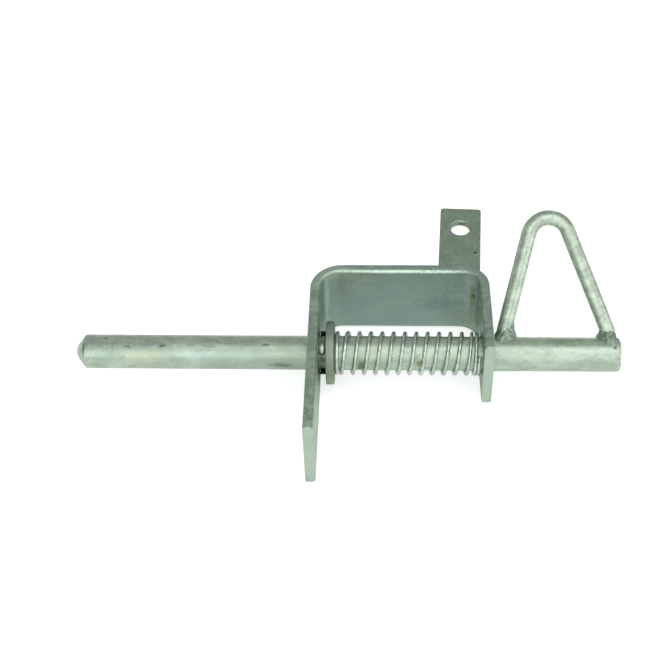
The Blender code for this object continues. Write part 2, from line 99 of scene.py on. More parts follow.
# Lug
LUG_WIDTH = 20.3 * MM
LUG_THICKNESS = 3.0 * MM
LUG_TOP_Z = 39.0 * MM
LUG_MIDDLE_X = 28.527 * MM
LUG_REACH = 40.9 * MM
LUG_SWING = math.radians(2.5)
LUG_HOLE_RADIUS = 4.65 * MM
LUG_HOLE_REACH = 26.95 * MM
LUG_CORNER_ROUND = 1.5 * MM
LUG_EDGE_ROUND = 0.45 * MM
LUG_HOLE_ROUND = 1.2 * MM
LUG_HIDDEN_END = 3.4 * MM
LUG_BEAD_RADIUS = 1.35 * MM
LUG_BEAD_OFFSET = 0.75 * LUG_BEAD_RADIUS
LUG_BEAD_START_X = 18.6 * MM
LUG_BEAD_TURN = math.radians(42)
LUG_BEAD_STEP = 0.4 * MM
RIPPLE_PITCH = 1.5 * MM
RIPPLE_DEPTH = 0.22 * MM

# Washer and pin
WASHER_RADIUS = 15.2 * MM
WASHER_LEFT_X = -35.225 * MM
WASHER_RIGHT_X = -31.425 * MM
WASHER_EDGE_ROUND = 0.4 * MM
PIN_X = -36.95 * MM
PIN_RADIUS = 1.425 * MM
PIN_ANGLE = math.radians(122.5)
PIN_LANE = 0.12 * MM
PIN_EYE_RADIUS = 1.6 * MM
PIN_EYE_REACH = 14.6 * MM
PIN_STANDOFF = 0.8 * MM
PIN_BEND = 2.35 * MM
PIN_WRAP = math.radians(84.0)
PIN_HOLE_MOUTH = 0.4 * MM
PIN_STEP = 0.3 * MM
PIN_TIP_ROUND = 0.25 * MM

# Spring
SPRING_WIRE_RADIUS = 0.9 * MM
SPRING_COIL_RADIUS = 9.65 * MM
SPRING_START_X = -30.2 * MM
SPRING_END_X = 37.45 * MM
SPRING_TURNS = 14.2
SPRING_STEPS = 44
SPRING_END_ANGLE = math.radians(144.0)
SPRING_CLOSED_PITCH = 1.01 * 2 * SPRING_WIRE_RADIUS
SPRING_OPENS_AFTER = 0.1
SPRING_OPENS_OVER = 1.0
SPRING_CLOSED_TURNS = 0.95
SPRING_CLOSES_OVER = 1.4
SPRING_TIP_ROUND = 0.12 * MM
SPRING_END_FADE = 7.0 * MM
COIL_SHIFT = 0.4 * MM
COIL_LEAN = 0.32 * MM
COIL_LEAN_ANGLE = math.radians(42.0)

# Handle
HANDLE_RADIUS = 3.625 * MM
HANDLE_INNER_X = 48.73 * MM
HANDLE_OUTER_X = 99.78 * MM
HANDLE_HEIGHT = 65.05 * MM
HANDLE_BEND_RADIUS = 9.7 * MM
HANDLE_PEAK_SHIFT = 3.9 * MM
HANDLE_LIFT = math.radians(42.0)
HANDLE_STEP = 1.2 * MM
HANDLE_BEND_STEP = 0.8 * MM
FOOT_TRIM_X = 102.2 * MM
FOOT_TRIM_SOFTNESS = 0.6 * MM
FOOT_SINK = 0.6 * MM

# Foot welds
WELD_SINK = 0.5 * MM
WELD_OVER_TRIM = 0.25 * MM
WELD_SINK_IN_BAR = 0.15 * MM
WELD_HOLLOW = 1.35
WELD_RINGS = 12

MERGE_DISTANCE = 0.002 * MM
BOLT_AXIS = Vector((0.0, BOLT_Y, BOLT_Z))
ALONG_X = Vector((1.0, 0.0, 0.0))
UPWARD = Vector((0.0, 0.0, 1.0))
PIN_EYE = BOLT_AXIS + ALONG_X * PIN_X + Vector((0.0, math.cos(PIN_ANGLE), math.sin(PIN_ANGLE))) * PIN_EYE_REACH

# Zinc, its stains, and tones of painted light and shade
CLOUD_SHARE = 0.5
PATCH_SHARE = 0.38
GRAIN_SHARE = 0.12
GRAIN_SIZE = 0.5 * MM
SPECK_SIZE = 1.5 * MM
SPECK_GROUP_SIZE = 11.0 * MM
RELIEF_DEPTH = 0.1 * MM
GRAIN_RELIEF = 0.35
STAIN_AND_PAINTED_LIGHT_RAGGEDNESS = 1.7
STAIN_AND_PAINTED_LIGHT_LUMP = 1.1
STAIN_AND_PAINTED_LIGHT_CORE = 0.35
OLIVE = (0.105, 0.105, 0.036)
OLIVE_STREAK = (0.19, 0.23, 0.10)
# Near black: real soot-like specks and marks, and also painted shade in the narrow gap between the long leg and the
# washer
SOOT_AND_SHADE = (0.04, 0.05, 0.036)
SHADE = (0.33, 0.44, 0.42)
# Painted light: a lighter tone laid where faces catch more light
PAINTED_LIGHT_TONE = (0.50, 0.62, 0.51)
# Painted highlight tone
PAINTED_HIGHLIGHT = (0.68, 0.80, 0.68)

# Table and light
FLOOR_Z = -0.6 * MM
FLOOR_HALF_SIZE = 10.0
FLOOR_WHITE = 0.9
FLOOR_GLOW = 0.24
FLOOR_CAMERA_GLOW = 0.36
WORLD_GREY = 0.46
LAMP_TARGET = (0.0, -0.03, 0.02)
LAMPS = (
    ("high_box", (0.22, -0.26, 1.05), (0.8, 0.75), 2.6),
    ("low_box", (-0.18, -1.0, 0.60), (1.2, 1.05), 4.2),
    ("side_card", (0.9, -0.35, 0.36), (0.9, 0.8), 2.6),
)


def place_camera():
    data = bpy.data.cameras.new("photo_camera")
    data.sensor_width = CAMERA_SENSOR
    data.lens = CAMERA_LENS
    data.clip_start = 0.01
    data.clip_end = 50.0
    camera = bpy.data.objects.new("photo_camera", data)
    bpy.context.scene.collection.objects.link(camera)
    turn = Matrix((CAMERA_RIGHT, CAMERA_UP, CAMERA_BACK)).transposed().to_4x4()
    camera.matrix_world = Matrix.Translation(CAMERA_PLACE) @ turn
    bpy.context.scene.camera = camera


# Shader building


def add_node(tree, kind, **settings):
    node = tree.nodes.new(kind)
    for name, value in settings.items():
        setattr(node, name, value)
    return node


def object_pattern(tree, scale, place=(0.0, 0.0, 0.0)):
    """Object coordinates, stretched by the scale after the place is moved to the origin."""
    coordinates = add_node(tree, "ShaderNodeTexCoord")
    shift = add_node(tree, "ShaderNodeMapping", vector_type="POINT")
    shift.inputs["Scale"].default_value = scale
    shift.inputs["Location"].default_value = [-p * s for p, s in zip(place, scale)]
    tree.links.new(coordinates.outputs["Object"], shift.inputs["Vector"])
    return shift.outputs["Vector"]


def noise_value(tree, vector, size, detail=3.0, roughness=0.55, distortion=0.0):
    """Noise whose lumps are about the given size across."""
    texture = add_node(tree, "ShaderNodeTexNoise")
    texture.inputs["Scale"].default_value = 1.0 / size
    texture.inputs["Detail"].default_value = detail
    texture.inputs["Roughness"].default_value = roughness
    texture.inputs["Distortion"].default_value = distortion
    tree.links.new(vector, texture.inputs["Vector"])
    return texture.outputs["Fac"]


def map_range(tree, value, low, high, to_low=0.0, to_high=1.0):
    stretch = add_node(tree, "ShaderNodeMapRange", interpolation_type="SMOOTHSTEP")
    stretch.inputs["From Min"].default_value = low
    stretch.inputs["From Max"].default_value = high
    stretch.inputs["To Min"].default_value = to_low
    stretch.inputs["To Max"].default_value = to_high
    tree.links.new(value, stretch.inputs["Value"])
    return stretch.outputs["Result"]


def arithmetic(tree, operation, first, second):
    step = add_node(tree, "ShaderNodeMath", operation=operation)
    for socket, value in zip(step.inputs, (first, second)):
        if isinstance(value, (int, float)):
            socket.default_value = value
        else:
            tree.links.new(value, socket)
    return step.outputs[0]


def mix_colour(tree, share, first, second):
    mixer = add_node(tree, "ShaderNodeMix", data_type="RGBA", blend_type="MIX")
    for socket, value in ((mixer.inputs[0], share), (mixer.inputs[6], first), (mixer.inputs[7], second)):
        if isinstance(value, (int, float)):
            socket.default_value = value
        elif isinstance(value, tuple):
            socket.default_value = (*value, 1.0)
        else:
            tree.links.new(value, socket)
    return mixer.outputs[2]


def stain_and_painted_light_share(tree, place, reach):
    """Falls from 1 near the place to 0 at the reach, an ellipsoid's three half sizes, with a ragged edge."""
    near = object_pattern(tree, tuple(1.0 / r for r in reach), place)
    length = add_node(tree, "ShaderNodeVectorMath", operation="LENGTH")
    tree.links.new(near, length.inputs[0])
    rough = noise_value(tree, object_pattern(tree, (1.0, 1.0, 1.0)), min(reach) * STAIN_AND_PAINTED_LIGHT_LUMP, 4.0)
    rough = arithmetic(tree, "MULTIPLY", rough, STAIN_AND_PAINTED_LIGHT_RAGGEDNESS)
    distance = arithmetic(tree, "ADD", length.outputs["Value"], rough)
    middle = STAIN_AND_PAINTED_LIGHT_RAGGEDNESS / 2
    return map_range(tree, distance, STAIN_AND_PAINTED_LIGHT_CORE + middle, 1.0 + middle, 1.0, 0.0)


def galvanised(
    name, dark, light, roughness=(0.36, 0.52), along=(1.0, 1.0, 1.0), cloud=14 * MM, mottle=2.6 * MM,
    bump=0.25, metallic=0.9, specks=0.35, stains_and_painted_light=(), contrast=(0.36, 0.66), tint_share=0.2,
):
    """Hot-dip zinc: soft clouds, finer mottling, dark specks and small patches, some of them real stains and some
    painted light and shade, all in the piece's own space.

    Each patch is its place, its reach on the three axes, its tone and its strength.
    """
    material = bpy.data.materials.new(name)
    material.use_nodes = True
    tree = material.node_tree
    shader = tree.nodes["Principled BSDF"]
    space = object_pattern(tree, along)
    clouds = noise_value(tree, space, cloud, 4.0, 0.6, 0.4)
    patches = noise_value(tree, space, mottle, 4.0, 0.6, 0.3)
    plain = object_pattern(tree, (1.0, 1.0, 1.0))
    grain = noise_value(tree, plain, GRAIN_SIZE, 2.0)
    blend = arithmetic(tree, "MULTIPLY", grain, GRAIN_SHARE)
    for pattern, part in ((patches, PATCH_SHARE), (clouds, CLOUD_SHARE)):
        blend = arithmetic(tree, "ADD", arithmetic(tree, "MULTIPLY", pattern, part), blend)
    colour = mix_colour(tree, map_range(tree, blend, *contrast), dark, light)
    tint = noise_value(tree, space, 1.6 * cloud, 3.0, 0.6)
    warm = tuple(light[i] * (1.06, 1.0, 0.86)[i] for i in range(3))
    cool = tuple(light[i] * (0.93, 1.0, 1.06)[i] for i in range(3))
    hue = mix_colour(tree, map_range(tree, tint, 0.38, 0.62), warm, cool)
    colour = mix_colour(tree, tint_share, colour, hue)
    if specks:
        spots = noise_value(tree, plain, SPECK_SIZE, 3.0, 0.6)
        groups = noise_value(tree, plain, SPECK_GROUP_SIZE, 2.0, 0.5)
        share = arithmetic(tree, "MULTIPLY", map_range(tree, spots, 0.56, 0.68), map_range(tree, groups, 0.44, 0.6))
        share = arithmetic(tree, "MULTIPLY", share, specks)
        colour = mix_colour(tree, share, colour, tuple(0.4 * c for c in dark))
    for place, reach, tone, strength in stains_and_painted_light:
        share = arithmetic(tree, "MULTIPLY", stain_and_painted_light_share(tree, place, reach), strength)
        colour = mix_colour(tree, share, colour, tone)
    tree.links.new(colour, shader.inputs["Base Color"])
    tree.links.new(map_range(tree, patches, 0.3, 0.7, *roughness), shader.inputs["Roughness"])
    shader.inputs["Metallic"].default_value = metallic
    relief = add_node(tree, "ShaderNodeBump")
    relief.inputs["Strength"].default_value = bump
    relief.inputs["Distance"].default_value = RELIEF_DEPTH
    height = arithmetic(tree, "ADD", patches, arithmetic(tree, "MULTIPLY", grain, GRAIN_RELIEF))
    tree.links.new(height, relief.inputs["Height"])
    tree.links.new(relief.outputs["Normal"], shader.inputs["Normal"])
    return material


# Mesh helpers


def finish_piece(name, bm, material, body, node, sharp=math.radians(42), weighted=False):
    """Makes the worked mesh a piece that stands for the node and moves with its body."""
    bmesh.ops.remove_doubles(bm, verts=bm.verts, dist=MERGE_DISTANCE)
    bmesh.ops.recalc_face_normals(bm, faces=bm.faces)
    mesh = bpy.data.meshes.new(name)
    bm.to_mesh(mesh)
    bm.free()
    mesh.materials.append(material)
    mesh.shade_smooth()
    mesh.set_sharp_from_angle(angle=sharp)
    piece = bpy.data.objects.new(name, mesh)
    bpy.context.scene.collection.objects.link(piece)
    if weighted:
        even = piece.modifiers.new("flat faces lead", "WEIGHTED_NORMAL")
        even.keep_sharp = True
    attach(piece, body)
    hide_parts(node)
    return piece


def new_verts(made):
    return [item for item in made["geom"] if isinstance(item, bmesh.types.BMVert)]


def pull_step(bm, edges):
    """Extrudes a loop of edges by nothing, and gives the new loop's corners and edges."""
    made = bmesh.ops.extrude_edge_only(bm, edges=edges)
    verts = new_verts(made)
    fresh = set(verts)
    loop = [
        item for item in made["geom"]
        if isinstance(item, bmesh.types.BMEdge) and item.verts[0] in fresh and item.verts[1] in fresh
    ]
    return verts, loop


def pull_along(bm, edges, path):
    """Draws a section, which stands square on the path's start, along the whole path."""
    runs = [(after - before).normalized() for before, after in zip(path, path[1:])]
    facing = [runs[0], *((a + b).normalized() for a, b in zip(runs, runs[1:])), runs[-1]]
    for before, after, old, new in zip(path, path[1:], facing, facing[1:]):
        verts, edges = pull_step(bm, edges)
        turn = old.rotation_difference(new).to_matrix()
        bmesh.ops.rotate(bm, verts=verts, cent=before, matrix=turn)
        bmesh.ops.translate(bm, verts=verts, vec=after - before)
    return edges


def close_ends(bm):
    bmesh.ops.holes_fill(bm, edges=[edge for edge in bm.edges if edge.is_boundary], sides=0)


def arc(centre, radius, start, end, step):
    """Points of an arc in the XY plane, both ends included."""
    count = max(4, round(abs(end - start) * radius / step))
    angles = [start + (end - start) * i / count for i in range(count + 1)]
    return [centre + radius * Vector((math.cos(a), math.sin(a), 0.0)) for a in angles]


def run(start, end, step):
    """Evenly spaced points from start to end, without the end."""
    count = max(1, round((end - start).length / step))
    return [start.lerp(end, i / count) for i in range(count)]


def uneven(bm, depth, size, seed):
    """Moves the surface in and out a little, as thick zinc leaves it."""
    bm.normal_update()
    for vert in bm.verts:
        lump = noise.noise(vert.co / size + Vector((seed, 0.0, 0.0)))
        vert.co += vert.normal * (lump * depth)


def rounding(x, radius, size, start, end, count):
    """Points of a profile's rounded corner, whose own centre is at x and the radius from the axis."""
    angles = [start + (end - start) * i / count for i in range(count + 1)]
    return [(x + size * math.cos(a), radius + size * math.sin(a)) for a in angles]


def span(start, end, count):
    """The points between two points of a profile, without either."""
    return [tuple(a + (b - a) * i / count for a, b in zip(start, end)) for i in range(1, count)]


def smooth_step(share):
    share = min(max(share, 0.0), 1.0)
    return 3 * share**2 - 2 * share**3


def turn_profile(bm, points, steps=96):
    """Spins (x, radius) points round the bolt's axis."""
    verts = [bm.verts.new((x, BOLT_Y + radius, BOLT_Z)) for x, radius in points]
    edges = [bm.edges.new(pair) for pair in zip(verts, verts[1:])]
    bmesh.ops.spin(
        bm, geom=verts + edges, cent=BOLT_AXIS, axis=ALONG_X, angle=2 * math.pi, steps=steps, use_merge=True
    )
    bmesh.ops.remove_doubles(bm, verts=bm.verts, dist=MERGE_DISTANCE)


def carve(piece_bm, cutter_bm):
    """Cuts one closed mesh out of another and gives what is left."""
    shapes = []
    for label, bm in (("carved", piece_bm), ("cutter", cutter_bm)):
        bmesh.ops.recalc_face_normals(bm, faces=bm.faces)
        mesh = bpy.data.meshes.new(label)
        bm.to_mesh(mesh)
        bm.free()
        shape = bpy.data.objects.new(label, mesh)
        bpy.context.scene.collection.objects.link(shape)
        shapes.append(shape)
    carved, cutter = shapes
    drill = carved.modifiers.new("drilled", "BOOLEAN")
    drill.solver = "EXACT"
    drill.operation = "DIFFERENCE"
    drill.object = cutter
    result = bpy.data.meshes.new_from_object(carved.evaluated_get(bpy.context.evaluated_depsgraph_get()))
    left = bmesh.new()
    left.from_mesh(result)
    for shape in shapes:
        bpy.data.objects.remove(shape, do_unlink=True)
    bpy.data.meshes.remove(result)
    return left


# Bracket


def short_bend_centre():
    radius = SHORT_BEND_RADIUS + STRIP_THICKNESS / 2
    turn = math.pi / 2 - SHORT_LEG_SPLAY
    middle_x = INSIDE_HALF + STRIP_THICKNESS / 2 / math.cos(SHORT_LEG_SPLAY)
    bend_end_y = -radius + radius * math.cos(turn)
    lean = (bend_end_y - BOLT_Y) * math.tan(SHORT_LEG_SPLAY)
    return Vector((middle_x - lean - radius * math.sin(turn), -radius, 0.0))


def long_bend_centre():
    radius = LONG_BEND_RADIUS + STRIP_THICKNESS / 2
    return Vector((-INSIDE_HALF + LONG_BEND_RADIUS, -radius, 0.0))


def strip_path(offset=0.0):
    """The strip's middle line in plan, from the long leg's end to the short leg's, or a line outside it."""
    half = STRIP_THICKNESS / 2
    long_bend = arc(long_bend_centre(), LONG_BEND_RADIUS + half + offset, math.pi, math.pi / 2, STRIP_STEP)
    short_bend = arc(short_bend_centre(), SHORT_BEND_RADIUS + half + offset, math.pi / 2, SHORT_LEG_SPLAY, STRIP_STEP)
    start = Vector((long_bend[0].x, LONG_LEG_END_Y, 0.0))
    slope = Vector((math.sin(SHORT_LEG_SPLAY), -math.cos(SHORT_LEG_SPLAY), 0.0))
    end = short_bend[-1] + slope * ((short_bend[-1].y - SHORT_LEG_END_Y) / math.cos(SHORT_LEG_SPLAY))
    path = run(start, long_bend[0], STRIP_STEP) + long_bend[:-1]
    path += run(long_bend[-1], short_bend[0], STRIP_STEP) + short_bend[:-1]
    return path + run(short_bend[-1], end, STRIP_STEP) + [end]


def swell_bend(bm, centre, radius, start, end):
    """Cold bending thickens the strip's edges on the inside of a bend and thins them outside."""
    for vert in bm.verts:
        flat = Vector((vert.co.x, vert.co.y, 0.0)) - centre
        if not radius - MM < flat.length < radius + STRIP_THICKNESS + MM:
            continue
        share = (math.atan2(flat.y, flat.x) - start) / (end - start)
        if not -BEND_SWELL_RUN_ON < share < 1 + BEND_SWELL_RUN_ON:
            continue
        grip = math.sin(math.pi * (share + BEND_SWELL_RUN_ON) / (1 + 2 * BEND_SWELL_RUN_ON)) ** 2
        depth = (flat.length - radius) / STRIP_THICKNESS
        edge = min(vert.co.z, STRIP_WIDTH - vert.co.z)
        reach = math.exp(-((edge / BEND_SWELL_DEPTH) ** 2))
        side = 1.0 if vert.co.z > STRIP_WIDTH / 2 else -1.0
        vert.co.z += side * BEND_SWELL * grip * reach * (1.0 - BEND_SWELL_FADE * depth)


def make_bent_strip(material):
    """The bracket: one rolled strip, drawn along its path, swollen at the bends and drilled through both legs."""
    path = strip_path()
    bm = bmesh.new()
    bmesh.ops.create_grid(bm, x_segments=1, y_segments=1, size=0.5)
    bmesh.ops.scale(bm, verts=bm.verts, vec=(STRIP_THICKNESS, STRIP_WIDTH, 1.0))
    for side, size in ((1, STRIP_INNER_ROUND), (-1, STRIP_OUTER_ROUND)):
        edge_pair = [vert for vert in bm.verts if vert.co.x * side > 0]
        bmesh.ops.bevel(bm, geom=edge_pair, offset=size, segments=6, profile=0.5, affect="VERTICES", material=-1)
    long_sides = [edge for edge in bm.edges if edge.calc_length() > STRIP_WIDTH / 2]
    bmesh.ops.subdivide_edges(bm, edges=long_sides, cuts=30)
    bmesh.ops.delete(bm, geom=bm.faces[:], context="FACES_KEEP_BOUNDARY")
    bmesh.ops.rotate(bm, verts=bm.verts, matrix=Matrix.Rotation(math.pi / 2, 3, "X"))
    bmesh.ops.translate(bm, verts=bm.verts, vec=path[0] + UPWARD * (STRIP_WIDTH / 2))
    rim = bm.edges[:]
    pull_along(bm, rim, path)
    close_ends(bm)
    bmesh.ops.recalc_face_normals(bm, faces=bm.faces)
    caps = [face for face in bm.faces if len(face.verts) > 8]
    bmesh.ops.bevel(
        bm, geom=list({edge for face in caps for edge in face.edges}), offset=STRIP_END_ROUND, segments=3,
        profile=0.5, affect="EDGES", material=-1,
    )
    caps = [face for face in bm.faces if len(face.verts) > 8]
    bmesh.ops.inset_individual(bm, faces=caps, thickness=STRIP_CAP_INSET, use_even_offset=True)
    swell_bend(bm, long_bend_centre(), LONG_BEND_RADIUS, math.pi, math.pi / 2)
    swell_bend(bm, short_bend_centre(), SHORT_BEND_RADIUS, math.pi / 2, SHORT_LEG_SPLAY)

    drill = bmesh.new()
    outer = INSIDE_HALF + STRIP_THICKNESS
    wide = HOLE_RADIUS + HOLE_CHAMFER
    drill_end = outer + DRILL_OVERSHOOT
    ways = []
    for face, side in ((-outer, 1), (-INSIDE_HALF, -1), (INSIDE_HALF, 1), (outer, -1)):
        flare = [(face, wide), (face + side * HOLE_CHAMFER, HOLE_RADIUS)]
        ways += flare if side > 0 else flare[::-1]
    ways = [(-drill_end, 0.0), (-drill_end, wide), *ways, (drill_end, wide), (drill_end, 0.0)]
    turn_profile(drill, ways, steps=72)
    bm = carve(bm, drill)
    uneven(bm, depth=0.05 * MM, size=9 * MM, seed=3.0)
    finish_piece("bent_strip", bm, material, "bracket", "bracket")


# Lug


def lug_to_place(bm):
    bmesh.ops.rotate(bm, verts=bm.verts, matrix=Matrix.Rotation(-LUG_SWING, 3, "Z"))
    bmesh.ops.translate(bm, verts=bm.verts, vec=(LUG_MIDDLE_X, STRIP_THICKNESS / 2, LUG_TOP_Z))


def make_fixing_lug(material):
    """A short flat bar with a punched hole, its near end hidden in the strip's back."""
    bm = bmesh.new()
    bmesh.ops.create_cube(bm, size=1.0)
    bmesh.ops.scale(bm, verts=bm.verts, vec=(LUG_WIDTH, LUG_REACH + LUG_HIDDEN_END, LUG_THICKNESS))
    bmesh.ops.translate(bm, verts=bm.verts, vec=(0.0, (LUG_REACH - LUG_HIDDEN_END) / 2, -LUG_THICKNESS / 2))
    corners = [
        edge for edge in bm.edges
        if edge.verts[0].co.y > 0 and edge.verts[1].co.y > 0 and abs((edge.verts[0].co - edge.verts[1].co).z) > MM
    ]
    bmesh.ops.bevel(
        bm, geom=corners, offset=LUG_CORNER_ROUND, segments=6, profile=0.5, affect="EDGES", material=-1
    )
    edges = [edge for edge in bm.edges if abs((edge.verts[0].co - edge.verts[1].co).z) < MM / 10]
    bmesh.ops.bevel(bm, geom=edges, offset=LUG_EDGE_ROUND, segments=3, profile=0.5, affect="EDGES", material=-1)

    punch = bmesh.new()
    half = LUG_THICKNESS / 2
    soft = LUG_HOLE_ROUND
    mouth = rounding(half - soft, LUG_HOLE_RADIUS + soft, soft, 0.0, -math.pi / 2, 5)
    above = [(half + MM, 0.0), (half + MM, LUG_HOLE_RADIUS + soft)]
    below = [(-half - MM, LUG_HOLE_RADIUS), (-half - MM, 0.0)]
    profile = above + mouth + below
    verts = [punch.verts.new((radius, 0.0, height)) for height, radius in profile]
    rim = [punch.edges.new(pair) for pair in zip(verts, verts[1:])]
    bmesh.ops.spin(
        punch, geom=verts + rim, cent=(0, 0, 0), axis=UPWARD, angle=2 * math.pi, steps=64, use_merge=True
    )
    bmesh.ops.remove_doubles(punch, verts=punch.verts, dist=MERGE_DISTANCE)
    bmesh.ops.translate(punch, verts=punch.verts, vec=(0.0, LUG_HOLE_REACH, -half))
    bm = carve(bm, punch)
    lug_to_place(bm)
    finish_piece("fixing_lug", bm, material, "bracket", "lug", weighted=True)


def round_bead_end(bm, end, inside):
    """Draws the last of the bead in to a ball, nearly closed at its tip."""
    along = (inside - end).normalized()
    for vert in bm.verts:
        depth = (vert.co - end).dot(along)
        if (vert.co - end).length < 2 * LUG_BEAD_RADIUS and depth < LUG_BEAD_RADIUS:
            middle = end + along * depth
            short = 0.95 * (1 - max(depth, 0.0) / LUG_BEAD_RADIUS)
            vert.co = middle + (vert.co - middle) * math.sqrt(1 - short**2)


def make_lug_bead(material):
    """A rippled fillet under the lug, laid along the back of the strip."""
    offset = STRIP_THICKNESS / 2 + LUG_BEAD_OFFSET
    height = LUG_TOP_Z - LUG_THICKNESS - LUG_BEAD_OFFSET
    centre = short_bend_centre()
    path = run(Vector((LUG_BEAD_START_X, offset, height)), Vector((centre.x, offset, height)), LUG_BEAD_STEP)
    radius = SHORT_BEND_RADIUS + STRIP_THICKNESS / 2 + offset
    bend = arc(centre, radius, math.pi / 2, math.pi / 2 - LUG_BEAD_TURN, LUG_BEAD_STEP)
    path += [point + UPWARD * height for point in bend]
    bm = bmesh.new()
    bmesh.ops.create_circle(bm, cap_ends=False, segments=16, radius=LUG_BEAD_RADIUS)
    bmesh.ops.rotate(bm, verts=bm.verts, matrix=Matrix.Rotation(math.pi / 2, 3, "Y"))
    bmesh.ops.translate(bm, verts=bm.verts, vec=path[0])
    pull_along(bm, bm.edges[:], path)
    close_ends(bm)
    bmesh.ops.recalc_face_normals(bm, faces=bm.faces)
    bm.normal_update()
    for vert in bm.verts:
        ripple = (vert.co.x / RIPPLE_PITCH + 0.4 * noise.noise(vert.co / (2 * RIPPLE_PITCH))) % 1.0
        vert.co += vert.normal * (RIPPLE_DEPTH * (ripple - 0.5))
    round_bead_end(bm, path[0], path[1])
    round_bead_end(bm, path[-1], path[-2])
    uneven(bm, depth=0.3 * MM, size=3 * MM, seed=7.0)
    finish_piece("lug_bead", bm, material, "bracket", "lug_weld")


# Bolt, washer and pin


def bolt_profile():
    """From the tail's middle round its edge, along the bar, down the cone and over the nose's tip."""
    profile = [(TAIL_X, 0.0)]
    profile += rounding(TAIL_X - TAIL_ROUND, BOLT_RADIUS - TAIL_ROUND, TAIL_ROUND, 0.0, math.pi / 2, 6)
    tip_edge = NOSE_TIP_RADIUS * math.sin(NOSE_SLOPE)
    cone_end_x = NOSE_X + NOSE_TIP_RADIUS * (1 - math.cos(NOSE_SLOPE))
    corner_x = cone_end_x + (BOLT_RADIUS - tip_edge) * math.tan(NOSE_SLOPE)
    turn = math.pi / 2 - NOSE_SLOPE
    shoulder_x = corner_x + NOSE_SHOULDER_ROUND * math.tan(turn / 2)
    profile += span((profile[-1][0], BOLT_RADIUS), (shoulder_x, BOLT_RADIUS), BOLT_RINGS)
    profile += rounding(
        shoulder_x, BOLT_RADIUS - NOSE_SHOULDER_ROUND, NOSE_SHOULDER_ROUND, math.pi / 2, math.pi / 2 + turn, 7
    )
    profile += span(profile[-1], (cone_end_x, tip_edge), 6)
    return profile + rounding(NOSE_X + NOSE_TIP_RADIUS, 0.0, NOSE_TIP_RADIUS, math.pi - NOSE_SLOPE, math.pi, 8)


def make_sliding_bolt(material):
    bm = bmesh.new()
    turn_profile(bm, bolt_profile())
    bmesh.ops.recalc_face_normals(bm, faces=bm.faces)
    uneven(bm, depth=0.07 * MM, size=6 * MM, seed=11.0)
    finish_piece("sliding_bolt", bm, material, "bolt", "bolt")


def make_flat_washer(material):
    soft = WASHER_EDGE_ROUND
    rim = WASHER_RADIUS - soft
    outline = [(WASHER_LEFT_X, HOLE_RADIUS)]
    outline += rounding(WASHER_LEFT_X + soft, rim, soft, math.pi, math.pi / 2, 5)
    outline += rounding(WASHER_RIGHT_X - soft, rim, soft, math.pi / 2, 0.0, 5)
    outline += [(WASHER_RIGHT_X, HOLE_RADIUS), (WASHER_LEFT_X, HOLE_RADIUS)]
    bm = bmesh.new()
    turn_profile(bm, outline)
    bmesh.ops.recalc_face_normals(bm, faces=bm.faces)
    uneven(bm, depth=0.06 * MM, size=5 * MM, seed=17.0)
    finish_piece("flat_washer", bm, material, "washer", "washer")


def pin_path():
    """One half of the pin in its own plane, from the eye's crown through the bolt to the tip of its prong."""
    shoulder = PIN_EYE_REACH - PIN_RADIUS - PIN_EYE_RADIUS
    path = arc(Vector((shoulder, 0.0, 0.0)), PIN_EYE_RADIUS, 0.0, math.pi / 2, PIN_STEP)
    mouth = BOLT_RADIUS + PIN_HOLE_MOUTH
    for i in range(1, 9):
        share = i / 8
        apart = PIN_EYE_RADIUS + (PIN_LANE - PIN_EYE_RADIUS) * smooth_step(share)
        path.append(Vector((shoulder + (mouth - shoulder) * share, apart, 0.0)))
    wrap = BOLT_RADIUS + PIN_STANDOFF + PIN_RADIUS
    bend_y = PIN_LANE + PIN_BEND
    bend_x = -math.sqrt((wrap - PIN_BEND) ** 2 - bend_y**2)
    meet = math.atan2(bend_y, bend_x)
    corner = arc(Vector((bend_x, bend_y, 0.0)), PIN_BEND, 1.5 * math.pi, meet, PIN_STEP)
    path += run(path[-1], corner[0], 5 * PIN_STEP)[1:] + corner
    path += arc(Vector((0.0, 0.0, 0.0)), wrap, meet, PIN_WRAP, 2 * PIN_STEP)[1:]
    return path


def make_split_pin(material):
    """Half-round wire with its flat side inward, folded to an eye and mirrored for its second prong."""
    path = pin_path()
    bm = bmesh.new()
    bmesh.ops.create_circle(bm, cap_ends=False, segments=24, radius=PIN_RADIUS)
    bmesh.ops.bisect_plane(
        bm, geom=bm.verts[:] + bm.edges[:], plane_co=(0, 0, 0), plane_no=(1, 0, 0), clear_inner=True
    )
    bmesh.ops.contextual_create(bm, geom=[vert for vert in bm.verts if len(vert.link_edges) == 1])
    bmesh.ops.rotate(bm, verts=bm.verts, matrix=Matrix.Rotation(-math.pi / 2, 3, "X"))
    bmesh.ops.translate(bm, verts=bm.verts, vec=path[0])
    pull_along(bm, bm.edges[:], path)
    far_end = [edge for edge in bm.edges if edge.is_boundary and edge.verts[0].co.x < path[0].x - MM]
    bmesh.ops.edgeloop_fill(bm, edges=far_end)
    tip = [face for face in bm.faces if len(face.verts) > 4]
    bmesh.ops.bevel(
        bm, geom=list({edge for face in tip for edge in face.edges}), offset=PIN_TIP_ROUND, segments=2, profile=0.5,
        affect="EDGES", material=-1,
    )
    bmesh.ops.mirror(bm, geom=bm.verts[:] + bm.edges[:] + bm.faces[:], axis="Y", merge_dist=0.02 * MM)
    along = Vector((0.0, math.cos(PIN_ANGLE), math.sin(PIN_ANGLE)))
    across = Vector((0.0, math.sin(PIN_ANGLE), -math.cos(PIN_ANGLE)))
    turn = Matrix((along, across, along.cross(across))).transposed().to_4x4()
    bmesh.ops.transform(bm, matrix=Matrix.Translation(BOLT_AXIS + ALONG_X * PIN_X) @ turn, verts=bm.verts)
    finish_piece("split_pin_wire", bm, material, "bolt", "split_pin")


# Spring


